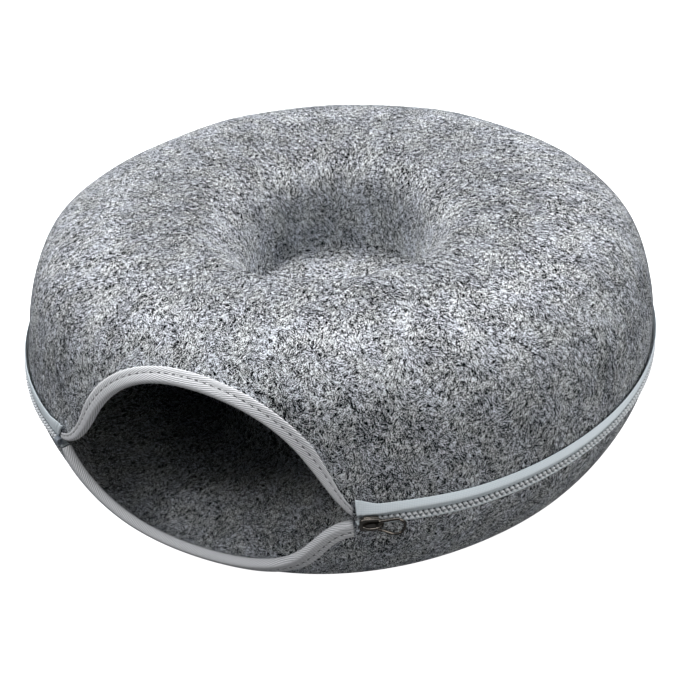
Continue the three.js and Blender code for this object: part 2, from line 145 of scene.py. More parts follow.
def rings(line, rows, ease=1.0):
    """Radius and height of rows of points on a line: closer at its end if ease is under 1."""
    run = lengths(line)
    share = np.linspace(0, 1, rows + 1) ** ease
    return np.stack([np.interp(share * run[-1], run, line[:, k]) for k in (0, 1)], axis=1)


@functools.cache
def dimple_rings(angle):
    """Rings of the upper half's middle: from the axis to the seat's crease, and on to the crest."""
    seat = bezier((0, SEAT[1] + SEAT_CROWN), (SEAT_HANDLE, SEAT[1] + SEAT_CROWN),
                  (SEAT_HANDLE, SEAT[1]), SEAT)
    steep = (1 + math.cos(angle - STEEPEST)) / 2
    wall = bezier(SEAT, *(LYING_BACK + (STEEP - LYING_BACK) * steep), CREST)
    return np.concatenate([rings(seat, SEAT_ROWS, ease=0.6),
                           rings(wall, DIMPLE_ROWS, ease=1.4)[1:]])


upper_rim = ZIP_HEIGHT + RIM_GAP / 2
upper_dome = trace(bezier(CREST, *DOME_HANDLES, (RIM_RADIUS, ZIP_HEIGHT)))
upper = {
    "side": 1,                      # the felt's outside is on the left of its meridian
    "rim": upper_rim,
    "lead": dimple_rings,
    "wall": lambda angle: upper_dome,
    "cut": cut_line(upper_rim, ARCH_LEFT, ARCH_TOP, ARCH_RIGHT),
}


def length_to(line, height):
    """Length of a wall's line to a height."""
    order = np.argsort(line["z"])
    return np.interp(height, line["z"][order], line["run"][order])


def felt_at(half, angle, distance, out=0.0):
    """A point of a half's wall, at a length from the wall's start, moved out along the normal."""
    line = half["wall"](angle)
    nudge = 0.0005
    ahead = point_at(line, distance + nudge) - point_at(line, max(0.0, distance - nudge))
    normal = half["side"] * np.array((-ahead[1], ahead[0])) / np.hypot(*ahead)
    return place(angle, *(point_at(line, distance) + out * normal))


def edge_columns(half):
    """Angle and height of a half's edge: along the mouth's cut, then round the rim."""
    around = np.linspace(MOUTH_ANGLE, 2 * math.pi - MOUTH_ANGLE, RING_STEPS + 1)[1:-1]
    mouth = [(along / RIM_RADIUS, height) for along, height in half["cut"]]
    return mouth + [(angle, half["rim"]) for angle in around]


def moulded_felt(half):
    """A flat round of felt, spun as rings one unit apart, then pressed to the half's shape.

    Its UV map holds the places of the flat round, in metres, so that the fibres lie in the felt.
    """
    columns = edge_columns(half)
    lead_rows = len(half["lead"](0)) - 1
    bm = bmesh.new()
    spoke = [bm.verts.new((0, -row, 0)) for row in range(lead_rows + WALL_ROWS + 1)]
    radius = [bm.edges.new(pair) for pair in zip(spoke, spoke[1:])]
    bmesh.ops.spin(bm, geom=spoke + radius, cent=(0, 0, 0), axis=(0, 0, 1), angle=2 * math.pi,
                   steps=len(columns), use_merge=True)
    bmesh.ops.remove_doubles(bm, verts=bm.verts, dist=0.01)
    reach = [length_to(half["wall"](angle), height) for angle, height in columns]
    flat = {}
    for vert in bm.verts:
        row = round(vert.co.length)
        turn = math.atan2(vert.co.x, -vert.co.y) / (2 * math.pi)
        column = round(turn * len(columns)) % len(columns)
        angle = columns[column][0]
        lead = half["lead"](angle)
        run = lengths(lead)
        if row <= lead_rows:
            distance = run[row]
            vert.co = place(angle, *lead[row])
        else:
            down = reach[column] * (row - lead_rows) / WALL_ROWS
            distance = run[-1] + down
            vert.co = felt_at(half, angle, down)
        flat[vert] = (distance * math.sin(angle), -distance * math.cos(angle))
    blank = bm.loops.layers.uv.new("blank")
    for face in bm.faces:
        for loop in face.loops:
            loop[blank].uv = flat[loop.vert]
    bmesh.ops.recalc_face_normals(bm, faces=bm.faces)
    bm.normal_update()
    pole = min(bm.verts, key=lambda vert: math.hypot(vert.co.x, vert.co.y - AXIS_Y))
    if pole.normal.z * half["side"] < 0:
        bmesh.ops.reverse_faces(bm, faces=bm.faces)
    return bm


def linear(hex_colour):
    """A colour for a shader socket from its sRGB hex value."""
    channels = [int(hex_colour[k:k + 2], 16) / 255 for k in (1, 3, 5)]
    return [c / 12.92 if c <= 0.04045 else ((c + 0.055) / 1.055) ** 2.4 for c in channels] + [1.0]


def node(tree, kind, inputs, **settings):
    """Adds a shader node with its settings, and sets or links its inputs."""
    made = tree.nodes.new("ShaderNode" + kind)
    for name, value in settings.items():
        setattr(made, name, value)
    for name, value in inputs.items():
        if isinstance(value, bpy.types.NodeSocket):
            tree.links.new(value, made.inputs[name])
        else:
            made.inputs[name].default_value = value
    return made


def new_material(name):
    """An empty material with a shader and its output."""
    material = bpy.data.materials.new(name)
    material.use_nodes = True
    tree = material.node_tree
    return material, tree, tree.nodes["Principled BSDF"]


# Needled felt, grey from a mix of black and white polyester fibres that lie in all directions.
# The eye sees short light and dark strands, cloudy patches and no gloss. The strands are drawn
# about ten times as thick as real fibres, near 0.3 mm, so that they show. Away from the top, the
# shade of the fibres where light grazes is painted in: a harder blend, darker towards the rim.
STRAND = (0.0064, 0.00058, 1.0)     # spacing along and across the strands
STRAND_WAYS = 6                     # directions in which they lie
STRAND_SHIFT = 0.37                 # the dark ones' places and directions, against the light ones'
STREAM_SPAN = 0.020                 # patches where one direction lies on top
STREAM = 0.20
BEND = 0.004                        # how far a strand strays from its straight line
CLOUD_SPAN = 0.032                  # patches with more light or more dark fibres
CLOUD = 0.12
FLECK_SPAN = 0.00060                # single fibres' ends and crossings
FLECK = 0.18
SOFT = 0.075                        # half the range in which light and dark fibres blend, on top
FIBRE_SHADE = 0.010                       # the same away from the top: harder, as painted shade of the fibres where light grazes
FIBRE_SHADE_RIM = (0.20, 0.29)            # radius on the flat round, from the first to the second
FIBRE_SHADE_MIDDLE = (0.10, 0.15)         # and from the second to the first
RIM_SHADE = 0.030                      # how much more of the dark ones shows towards the rim: painted shade
FIBRE_RELIEF = 0.0030
felt, tree, shader = new_material("needled_polyester_felt")
where = node(tree, "UVMap", {}, uv_map="blank").outputs[0]
stream = node(tree, "TexNoise", {"Vector": where, "Scale": 1 / STREAM_SPAN, "Detail": 1.0},
              noise_dimensions="2D").outputs["Color"]
streams = node(tree, "SeparateColor", {"Color": stream}).outputs
bent = node(tree, "VectorMath", {0: stream, 1: (BEND, BEND, 0.0), 2: where},
            operation="MULTIPLY_ADD").outputs[0]
strands = []
for shift in (0.0, STRAND_SHIFT):
    top = None
    for k in range(STRAND_WAYS):
        turn = math.pi * (k + shift) / STRAND_WAYS
        moved = node(tree, "Mapping", {"Vector": bent, "Location": (shift, k, 0),
                                       "Rotation": (0, 0, turn), "Scale": STRAND},
                     vector_type="TEXTURE")
        line = node(tree, "TexNoise", {"Vector": moved.outputs[0], "Scale": 1.0, "Detail": 1.0,
                                       "Roughness": 0.4}, noise_dimensions="2D").outputs["Fac"]
        line = node(tree, "Math", {0: streams[k % 3], 1: STREAM if k < 3 else -STREAM, 2: line},
                    operation="MULTIPLY_ADD").outputs[0]
        if k >= 3:
            line = node(tree, "Math", {0: line, 1: STREAM}, operation="ADD").outputs[0]
        if top is not None:
            line = node(tree, "Math", {0: top, 1: line}, operation="MAXIMUM").outputs[0]
        top = line
    strands.append(top)
clouds = node(tree, "TexNoise", {"Vector": where, "Scale": 1 / CLOUD_SPAN, "Detail": 3.0,
                                 "Roughness": 0.5}, noise_dimensions="2D")
lead_over = node(tree, "Math", {0: strands[0], 1: strands[1]}, operation="SUBTRACT")
clouded = node(tree, "Math", {0: clouds.outputs["Fac"], 1: CLOUD, 2: lead_over.outputs[0]},
               operation="MULTIPLY_ADD")
flecks = node(tree, "TexNoise", {"Vector": where, "Scale": 1 / FLECK_SPAN, "Detail": 1.0},
              noise_dimensions="2D")
flecked = node(tree, "Math", {0: flecks.outputs["Fac"], 1: FLECK, 2: clouded.outputs[0]},
               operation="MULTIPLY_ADD")
from_middle = node(tree, "VectorMath", {0: where}, operation="LENGTH").outputs["Value"]
# Away from the top the blend is harder, and towards the rim darker: painted shade of the fibres.
top_contrast, fibre_shade_contrast = 0.5 / SOFT, 0.5 / FIBRE_SHADE
outer = node(tree, "MapRange", {"Value": from_middle,
                                "From Min": FIBRE_SHADE_RIM[0], "From Max": FIBRE_SHADE_RIM[1],
                                "To Min": top_contrast, "To Max": fibre_shade_contrast}).outputs[0]
inner = node(tree, "MapRange", {"Value": from_middle,
                                "From Min": FIBRE_SHADE_MIDDLE[0], "From Max": FIBRE_SHADE_MIDDLE[1],
                                "To Min": fibre_shade_contrast, "To Max": top_contrast}).outputs[0]
blend_contrast = node(tree, "Math", {0: outer, 1: inner}, operation="MAXIMUM").outputs[0]
rim_shade_shift = node(tree, "MapRange", {"Value": outer, "From Min": top_contrast, "From Max": fibre_shade_contrast,
                                 "To Min": (CLOUD + FLECK) / 2,
                                 "To Max": (CLOUD + FLECK) / 2 + RIM_SHADE}).outputs[0]
evened = node(tree, "Math", {0: flecked.outputs[0], 1: rim_shade_shift}, operation="SUBTRACT")
share = node(tree, "Math", {0: evened.outputs[0], 1: blend_contrast, 2: 0.5}, operation="MULTIPLY_ADD",
             use_clamp=True)
tint = node(tree, "MapRange", {"Value": streams[0], "From Min": 0.35, "From Max": 0.65})
pale = node(tree, "Mix", {0: tint.outputs[0], 6: linear("#f2f5f6"), 7: linear("#eef2f9")},
            data_type="RGBA")
mixed = node(tree, "Mix", {0: share.outputs[0], 6: linear("#101214"), 7: pale.outputs[2]},
             data_type="RGBA")
relief = node(tree, "Bump", {"Height": share.outputs[0], "Strength": 1.0,
                              "Distance": FIBRE_RELIEF})
tree.links.new(mixed.outputs[2], shader.inputs["Base Color"])
tree.links.new(relief.outputs[0], shader.inputs["Normal"])
shader.inputs["Roughness"].default_value = 0.95
shader.inputs["Specular IOR Level"].default_value = 0.05
shader.inputs["Sheen Weight"].default_value = 0.04
shader.inputs["Sheen Roughness"].default_value = 0.5


def piece(name, bm, material, slot, *nodes):
    """The finished piece of a bmesh, which rides on the body and stands for these solids."""
    mesh = bpy.data.meshes.new(name)
    bm.to_mesh(mesh)
    bm.free()
    mesh.shade_smooth()
    mesh.materials.append(material)
    obj = bpy.data.objects.new(name, mesh)
    bpy.context.scene.collection.objects.link(obj)
    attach(obj, "root")
    if nodes:
        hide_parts(*nodes)
    return obj


def thicken(obj, thickness):
    """Gives a sheet its thickness, under the face that is modelled."""
    skin = obj.modifiers.new("thickness", "SOLIDIFY")
    skin.thickness = thickness
    skin.offset = -1
    skin.use_even_offset = True


upper_felt = piece("upper_felt", moulded_felt(upper), felt, "felt", "upper_shell")
thicken(upper_felt, FELT)


# Lower felt half: the same felt, pressed into a ring-shaped dish with a hub in its middle that
# meets the underside of the dimple. Its front is cut low for the lip of the mouth.
BASE_RADIUS = 0.212                 # outer edge of the flat underside
HUB_FOOT_RADIUS = 0.112             # where the hub rises out of the floor
HUB_GAP = 0.0003                    # between the hub's top and the felt of the dimple
HUB_TOP = SEAT[1] - 2 * FELT - HUB_GAP
HUB_HANDLES = ((0.0855, HUB_TOP), (0.082, 0))               # of the hub's side, from its top
FULLNESS = 0.29                     # roundness of the wall
LIP_FULLNESS = 0.48                 # the same in front, where the lip is spread out
LIP_CENTRE = math.radians(3)
LIP_SPREAD = (math.radians(15), math.radians(55))           # full up to here, faded out by there
LIP_LOW = 0.015
LIP_LEFT = ((-0.102, 0.046), (-0.084, 0.017))               # handles of the lip, from its corners
LIP_RIGHT = ((0.084, 0.064), (0.092, 0.008))
lower_rim = ZIP_HEIGHT - RIM_GAP / 2


@functools.cache
def dish_wall(angle):
    """Meridian of the lower wall, from the flat underside to the rim."""
    beside = angle - LIP_CENTRE
    turn = abs(math.atan2(math.sin(beside), math.cos(beside)))
    lip = 1 - smooth_step(turn, *LIP_SPREAD)
    full = FULLNESS + (LIP_FULLNESS - FULLNESS) * lip
    return trace(bezier((BASE_RADIUS, 0), (BASE_RADIUS + full * (RIM_RADIUS - BASE_RADIUS), 0),
                        (RIM_RADIUS, lower_rim * (1 - full)), (RIM_RADIUS, lower_rim), steps=48))


hub_rings = np.concatenate([        # over the hub and down it, and over the floor
    rings(bezier((0, HUB_TOP + SEAT_CROWN), (SEAT_HANDLE, HUB_TOP + SEAT_CROWN),
                 (SEAT_HANDLE, HUB_TOP), (SEAT[0], HUB_TOP)), rows=8),
    rings(bezier((SEAT[0], HUB_TOP), *HUB_HANDLES, (HUB_FOOT_RADIUS, 0)), rows=24)[1:],
    rings(np.array([(HUB_FOOT_RADIUS, 0), (BASE_RADIUS, 0)]), rows=12)[1:],
])
lower = {
    "side": -1,
    "rim": lower_rim,
    "lead": lambda angle: hub_rings,
    "wall": dish_wall,
    "cut": cut_line(lower_rim, LIP_LEFT, LIP_LOW, LIP_RIGHT),
}
lower_felt = piece("lower_felt", moulded_felt(lower), felt, "felt", "lower_shell")
thicken(lower_felt, FELT)


# Bindings: light grey twill tape folded over the two cut edges of the mouth, 9 mm on each face of
# the felt, and sewn through with one row of stitches that pulls in a furrow.
BINDING = 0.0012                    # thickness of the tape
BINDING_LIFT = 0.0015               # from the felt to the tape's outside
BINDING_WIDTH = 0.009
BINDING_NOSE = 0.0023               # how far the fold stands off the felt's edge
BINDING_FURROW = 0.0005
TAPER = 0.6                         # the arch's binding narrows by this share at its ends
TAPER_REACH = 0.045
FLANGE_ROWS = 8
SEAM_ROW = 4                        # the row of a flange that the stitches follow
NOSE_ROWS = 10
NOSE_HALF = math.pi * (FELT / 2 + BINDING_LIFT) / 2


def out_of(half, angle, distance):
    """Direction out of the felt at a point of a half's wall."""
    probe = 0.001
    return (felt_at(half, angle, distance, probe) - felt_at(half, angle, distance)).normalized()


def cut_frames(half):
    """Along the mouth's cut: angle, wall length to the edge, slope, distance so far, and width."""
    angles = half["cut"][:, 0] / RIM_RADIUS
    reach = np.array([length_to(half["wall"](a), z) for a, z in zip(angles, half["cut"][:, 1])])
    slope = np.gradient(reach, angles * RIM_RADIUS)
    run = lengths(np.stack([angles * RIM_RADIUS, reach], axis=1))
    taper = TAPER if half is upper else 0.0
    width = [1 - taper * (1 - smooth_step(min(d, run[-1] - d), 0, TAPER_REACH)) for d in run]
    return angles, reach, slope, run, width


def strip(along, across, lay):
    """A strip of cloth: a flat grid whose points go where lay says.

    Its UV map holds the distance along and across the strip, in metres.
    """
    bm = bmesh.new()
    bmesh.ops.create_grid(bm, x_segments=along, y_segments=across, size=0.5)
    weave = bm.loops.layers.uv.new("weave")
    laid = {vert: lay(round((vert.co.x + 0.5) * along), round((vert.co.y + 0.5) * across))
            for vert in bm.verts}
    for vert, (point, _) in laid.items():
        vert.co = point
    for face in bm.faces:
        for loop in face.loops:
            loop[weave].uv = laid[loop.vert][1]
    bm.normal_update()
    return bm


def binding(half):
    """The folded tape: its outer flange, the round fold, and its inner flange."""
    angles, reach, slope, run, width = cut_frames(half)
    edges = [felt_at(half, a, s, -FELT / 2) for a, s in zip(angles, reach)]

    def lay(i, j):
        row = j if j <= FLANGE_ROWS else 2 * FLANGE_ROWS + NOSE_ROWS - j
        if row <= FLANGE_ROWS:
            flange = BINDING_WIDTH * (1 - row / FLANGE_ROWS)
            out = BINDING_LIFT - BINDING_FURROW * ((row == SEAM_ROW) + (row == 0))
            inside = j > FLANGE_ROWS
            up = flange * width[i] * math.hypot(1, slope[i])
            point = felt_at(half, angles[i], reach[i] - up, -FELT - out if inside else out)
            across = NOSE_HALF + flange
            return point, (run[i] - flange * slope[i], across if inside else -across)
        turn = math.pi * (j - FLANGE_ROWS) / NOSE_ROWS
        tangent = edges[min(i + 1, len(edges) - 1)] - edges[max(i - 1, 0)]
        normal = out_of(half, angles[i], reach[i])
        beyond = half["side"] * tangent.cross(normal).normalized()
        point = (edges[i] + normal * (FELT / 2 + BINDING_LIFT) * math.cos(turn)
                 + beyond * BINDING_NOSE * math.sin(turn))
        return point, (run[i], NOSE_HALF * (2 * turn / math.pi - 1))

    bm = strip(len(angles) - 1, 2 * FLANGE_ROWS + NOSE_ROWS, lay)
    middle = reach[MOUTH_STEPS]
    outside = felt_at(half, 0, middle - BINDING_WIDTH / 2, BINDING_LIFT)
    nearest = min(bm.faces, key=lambda face: (face.calc_center_median() - outside).length)
    if nearest.normal.dot(out_of(half, 0, middle)) < 0:
        bmesh.ops.reverse_faces(bm, faces=bm.faces)
    return bm


# Twill tape woven from light grey polyester yarn: fine ribs run aslant along it. The eye sees the
# ribs as light lines with grey furrows, 1.3 mm apart, and along the seam a broken dark line: the
# needle holes, with their shade painted in.
RIB_SPAN = 0.0013
RIB_ANGLE = math.radians(111)       # from the tape's width
STITCH_SPAN = 0.006
STITCH_GAP = 0.0013                 # half the bare gap between two stitches
SEAM_HALF = 0.0004                  # half the width of the line that the holes make
WAVES = 3.1832                      # bands that a wave texture of scale 1 has in a metre
SEAM_ACROSS = NOSE_HALF + BINDING_WIDTH * (1 - SEAM_ROW / FLANGE_ROWS)
twill, tree, shader = new_material("polyester_twill_tape")
where = node(tree, "UVMap", {}, uv_map="weave").outputs[0]
turned = node(tree, "Mapping", {"Vector": where, "Rotation": (0, 0, RIB_ANGLE)})
ribs = node(tree, "TexWave", {"Vector": turned.outputs[0], "Scale": 1 / RIB_SPAN / WAVES,
                              "Distortion": 1.2, "Detail": 2.0, "Detail Scale": 1.5})
shade = node(tree, "MapRange", {"Value": ribs.outputs["Fac"], "From Min": 0.05, "From Max": 0.7})
woven = node(tree, "Mix", {0: shade.outputs[0], 6: linear("#949598"), 7: linear("#f4f4f5")},
             data_type="RGBA")
place_on = node(tree, "SeparateXYZ", {"Vector": where}).outputs
beside = node(tree, "Math", {0: place_on["Y"]}, operation="ABSOLUTE")
on_seam = node(tree, "Math", {0: beside.outputs[0], 1: SEAM_ACROSS, 2: SEAM_HALF},
               operation="COMPARE")
from_hole = node(tree, "Math", {0: place_on["X"], 1: STITCH_SPAN / 2}, operation="PINGPONG")
in_gap = node(tree, "Math", {0: from_hole.outputs[0], 1: STITCH_GAP}, operation="LESS_THAN")
# Between the stitches the seam's needle holes show dark: the holes with their painted shade.
hole_with_shade = node(tree, "Math", {0: on_seam.outputs[0], 1: in_gap.outputs[0]}, operation="MULTIPLY")
colour = node(tree, "Mix", {0: hole_with_shade.outputs[0], 6: woven.outputs[2], 7: linear("#5c5c5e")},
              data_type="RGBA")
relief = node(tree, "Bump", {"Height": ribs.outputs["Fac"], "Strength": 0.5, "Distance": 0.0003})
tree.links.new(colour.outputs[2], shader.inputs["Base Color"])
tree.links.new(relief.outputs[0], shader.inputs["Normal"])
shader.inputs["Roughness"].default_value = 0.85
shader.inputs["Specular IOR Level"].default_value = 0.25

# Sewing thread, spun from light grey polyester: smooth and pale, with a fine twist.
THREAD_TWIST = 0.0006
thread, tree, shader = new_material("polyester_sewing_thread")
where = node(tree, "TexCoord", {}).outputs["Object"]
twist = node(tree, "TexWave", {"Vector": where, "Scale": 1 / THREAD_TWIST / WAVES},
             bands_direction="DIAGONAL")
colour = node(tree, "Mix", {0: twist.outputs["Fac"], 6: linear("#b4b4b5"), 7: linear("#e6e6e7")},
              data_type="RGBA")
tree.links.new(colour.outputs[2], shader.inputs["Base Color"])
shader.inputs["Roughness"].default_value = 0.6

STITCH = (0.0016, 0.0003, 0.0003)   # half length, half width, half height


def stitches(half):
    """Lockstitches along both flanges of a binding, each a flattened bead of thread."""
    angles, reach, slope, run, width = cut_frames(half)
    across = SEAM_ACROSS - NOSE_HALF
    along = run - across * slope
    bm = bmesh.new()

    def seam_at(distance):
        angle, edge, lean, share = (np.interp(distance, along, row)
                                    for row in (angles, reach, slope, width))
        return half, angle, edge - across * share * math.hypot(1, lean)

    for k in range(1, int(along[-1] / STITCH_SPAN) - 1):
        middle = (k + 0.5) * STITCH_SPAN
        for out in (BINDING_LIFT - BINDING_FURROW, -FELT - BINDING_LIFT + BINDING_FURROW):
            x = (felt_at(*seam_at(middle + STITCH[0]), out)
                 - felt_at(*seam_at(middle - STITCH[0]), out)).normalized()
            z = out_of(*seam_at(middle))
            spot = Matrix.Translation(felt_at(*seam_at(middle), out))
            turned = Matrix((x, z.cross(x), z)).transposed().to_4x4()
            bmesh.ops.create_uvsphere(bm, u_segments=6, v_segments=6, radius=1.0,
                                      matrix=spot @ turned @ Matrix.Diagonal((*STITCH, 1)))
    return bm


for name, half, cad_node, rest in (("arch_binding", upper, "binding_upper", "upper_felt"),
                                   ("lip_binding", lower, "binding_lower", "lower_felt")):
    tape = piece(name, binding(half), twill, "twill", cad_node)
    thicken(tape, BINDING)
    length = cut_frames(half)[3][-1]
    piece(name + "_stitches", stitches(half), thread, "twill")


# Zip tapes: pale blue-grey woven polyester, sewn to the outside of each rim with the teeth moulded
# on their free edge. The upper one stands off in a soft roll and spreads at its ends, and the lower
# one passes over its rim and is sewn to the inside.
TAPE = 0.0005                       # thickness
TAPE_STEPS = 240
CHAIN_HALF = 0.0023                 # half the height of the closed teeth
CHAIN_RADIUS = 0.2485
TAPE_PAST = RIM_GAP / 2 - CHAIN_HALF
UPPER_ROLL = np.array((             # up from the felt's edge; out from the felt as a full roll, as
    (0.0072, 0.0018, 0.0018, 0.0028),       # it leans out beside the slider, and nearly flat
    (0.0068, 0.0023, 0.0021, 0.0030), (0.0058, 0.0029, 0.0025, 0.0031),
    (0.0047, 0.0036, 0.0030, 0.0030), (0.0036, 0.0042, 0.0034, 0.0028),
    (0.0027, 0.0045, 0.0037, 0.0025), (0.0019, 0.0044, 0.0040, 0.0022),
    (0.0012, 0.0036, 0.0042, 0.0019), (0.0006, 0.0025, 0.0041, 0.0016),
    (0.0000, 0.0017, 0.0028, 0.0014), (-TAPE_PAST, 0.00145, 0.00145, 0.00120),
))
LOWER_ROLL = np.array((             # down from the felt's edge: up the inside, over it, and out
    (0.0050, -0.0044), (0.0024, -0.0044), (0.0002, -0.0044), (-0.0004, -0.0036), (-0.0004, -0.0006),
    (-0.0006, 0.0008), (-0.0012, 0.0013), (-TAPE_PAST, 0.00145),
))[:, [0, 1, 1, 1]]
LEAN_OUT = (0.012, 0.060)           # from the slider: leaning out up to here, and rolled from there
FLAT_FROM = (0.150, 0.360)          # and farther off it comes to lie flat
SPREAD = 0.6                        # how much the tape spreads at its ends
SPREAD_REACH = 0.017
NARROW = 0.3                        # how much less of it shows round the back
BROAD = 0.6                         # and how much more towards the stop
BROAD_REACH = (0.100, 0.400)        # from the stop: fully so up to here, and faded out by there
END_SLANT = 0.0024                  # the free edge starts this much later
END_TIP = 0.0045                    # at the stop the sewn edge runs on so far in a slanting tip
TIP_OUT = 0.04                      # how far that tip stands off, as a share of it
END_INSET = 0.0006                  # from the mouth's corner to the tape's end
END_CLOSER = 0.8                    # how much closer its points lie towards the ends
CREASE = 0.0005
CREASE_SPAN = 0.008
CREASE_SLANT = 1.5                  # how far a crease runs along the tape for its width


def zip_tape(half, roll, tip):
    """A tape round the rim, from one corner of the mouth to the other, with a tip at its end."""
    across = lengths(roll[:, :2])
    start = MOUTH_ANGLE + END_INSET / RIM_RADIUS

    def lay(i, j):
        over, rolled, leaning, flat = roll[j]
        share = across[j] / across[-1]
        first = start + END_SLANT * share / RIM_RADIUS
        last = 2 * math.pi - start + tip * (1 - 2 * share) / RIM_RADIUS
        turn = 2 * math.pi * i / TAPE_STEPS
        angle = first + (last - first) * (turn - END_CLOSER * math.sin(turn)) / (2 * math.pi)
        from_start = (angle - start) * RIM_RADIUS
        from_end = (2 * math.pi - start - angle) * RIM_RADIUS
        spread = 1 - smooth_step(min(from_start, from_end), 0, SPREAD_REACH)
        lean = 1 - smooth_step(from_start, *LEAN_OUT)
        level = smooth_step(from_start, *FLAT_FROM)
        out = rolled * (1 - lean - level) + leaning * lean + flat * level + tip * TIP_OUT * spread
        wave = (from_start - from_end - CREASE_SLANT * over) / CREASE_SPAN
        out += CREASE * spread * math.sin(2 * math.pi * wave)
        broad = BROAD * (1 - smooth_step(from_end, *BROAD_REACH)) - NARROW
        over *= 1 + (SPREAD * spread * (1 - level / 2) + broad * level) * (over > 0)
        reach = length_to(half["wall"](angle), half["rim"])
        point = felt_at(half, angle, reach - max(over, 0.0), out)
        point.z -= half["side"] * max(-over, 0.0)
        return point, (angle * RIM_RADIUS, across[j])

    bm = strip(TAPE_STEPS, len(roll) - 1, lay)
    behind = place(math.pi, CHAIN_RADIUS, half["rim"])
    middle = min(bm.faces, key=lambda face: (face.calc_center_median() - behind).length)
    if middle.normal.y < 0:
        bmesh.ops.reverse_faces(bm, faces=bm.faces)
    return bm


# Zip tape woven from polyester in a close herringbone. The eye sees a smooth pale band with fine
# lines along it and a soft sheen.
YARN_SPAN = 0.0011
zip_cloth, tree, shader = new_material("woven_polyester_zip_tape")
where = node(tree, "UVMap", {}, uv_map="weave").outputs[0]
long_yarn = node(tree, "TexWave", {"Vector": where, "Scale": 1 / YARN_SPAN / WAVES,
                                   "Distortion": 0.6, "Detail": 1.0}, bands_direction="Y")
cross_yarn = node(tree, "TexWave", {"Vector": where, "Scale": 1 / YARN_SPAN / WAVES,
                                    "Distortion": 1.0, "Detail": 1.0}, bands_direction="X")
weave = node(tree, "Math", {0: long_yarn.outputs["Fac"], 1: cross_yarn.outputs["Fac"]},
             operation="MULTIPLY")
colour = node(tree, "Mix", {0: weave.outputs[0], 6: linear("#dae4e8"), 7: linear("#f6fbfd")},
              data_type="RGBA")
relief = node(tree, "Bump", {"Height": weave.outputs[0], "Strength": 0.3, "Distance": 0.0002})
tree.links.new(colour.outputs[2], shader.inputs["Base Color"])
tree.links.new(relief.outputs[0], shader.inputs["Normal"])
shader.inputs["Roughness"].default_value = 0.7
shader.inputs["Specular IOR Level"].default_value = 0.3

for name, half, roll, tip, cad_node, rest in (
        ("upper_zip_tape", upper, UPPER_ROLL, END_TIP, "zip_tape_upper", "upper_felt"),
        ("lower_zip_tape", lower, LOWER_ROLL, 0.0, "zip_tape_lower", "lower_felt")):
    tape = piece(name, zip_tape(half, roll, tip), zip_cloth, "zip_cloth", cad_node)
    thicken(tape, TAPE)
    lengths(roll[:, :2])[-1]


# Teeth: two rows of acetal blocks moulded on the edges of the tapes, locked into each other all
# round the rim. Each has a broad root on its tape and a narrow head between its neighbours.
TOOTH_PITCH = 0.00387
FIRST_TOOTH = 0.0073                # from the mouth's right corner, in the slider
LAST_TOOTH = 0.0065                 # from its left corner, at the stop
CHAIN_START = MOUTH_ANGLE + FIRST_TOOTH / CHAIN_RADIUS
CHAIN_END = 2 * math.pi - MOUTH_ANGLE - LAST_TOOTH / CHAIN_RADIUS
ROOT = (0.0025, 0.0022, 0.0014)     # along the zip, through it, up
HEAD = (0.0011, 0.0014, 0.0024)
ROOT_UP = 0.0016                    # middle of the root over the zip's middle
HEAD_UP = 0.0004
HEAD_DEEP = 0.0008                  # how much deeper it lies than the root
TOOTH_EDGE = 0.0003


def tooth():
    """One tooth of the upper row, its root up: a root block and a head block, edges rounded."""
    bm = bmesh.new()
    for size, up, deep in ((ROOT, ROOT_UP, 0.0), (HEAD, HEAD_UP, HEAD_DEEP)):
        block = bmesh.ops.create_cube(bm, size=1, matrix=Matrix.Translation((0, deep, up))
                                      @ Matrix.Diagonal((*size, 1)))["verts"]
        rounded = {edge for vert in block for edge in vert.link_edges}
        bmesh.ops.bevel(bm, geom=list(rounded), offset=TOOTH_EDGE, affect="EDGES", segments=1,
                        profile=0.5, material=-1)
    return bm


def on_zip(angle):
    """Frame of the zip at an angle: X along it, -Y outwards, Z up."""
    spot = place(angle, CHAIN_RADIUS, ZIP_HEIGHT)
    return Matrix.Translation(spot) @ Matrix.Rotation(angle, 4, "Z")


def put(bm, part, matrix):
    """Adds a copy of another bmesh, moved by a matrix."""
    mesh = bpy.data.meshes.new("copied")
    part.to_mesh(mesh)
    mesh.transform(matrix)
    bm.from_mesh(mesh)
    bpy.data.meshes.remove(mesh)


one_tooth = tooth()
bm = bmesh.new()
count = int((CHAIN_END - CHAIN_START) * CHAIN_RADIUS / TOOTH_PITCH)
for k in range(2 * count):
    angle = CHAIN_START + (k + 1) * TOOTH_PITCH / 2 / CHAIN_RADIUS
    put(bm, one_tooth, on_zip(angle) @ Matrix.Rotation(math.pi if k % 2 else 0, 4, "Y"))
one_tooth.free()

# Moulded acetal, pale grey: smooth and a little glossy.
GRAIN_SPAN = 0.0025
acetal, tree, shader = new_material("moulded_acetal")
where = node(tree, "TexCoord", {}).outputs["Object"]
grain = node(tree, "TexNoise", {"Vector": where, "Scale": 1 / GRAIN_SPAN, "Detail": 2.0})
colour = node(tree, "Mix", {0: grain.outputs["Fac"], 6: linear("#e2e6e8"), 7: linear("#fafbfb")},
              data_type="RGBA")
tree.links.new(colour.outputs[2], shader.inputs["Base Color"])
shader.inputs["Roughness"].default_value = 0.35
shader.inputs["IOR"].default_value = 1.48

piece("zip_teeth", bm, acetal, "zip_teeth", "zip_chain")


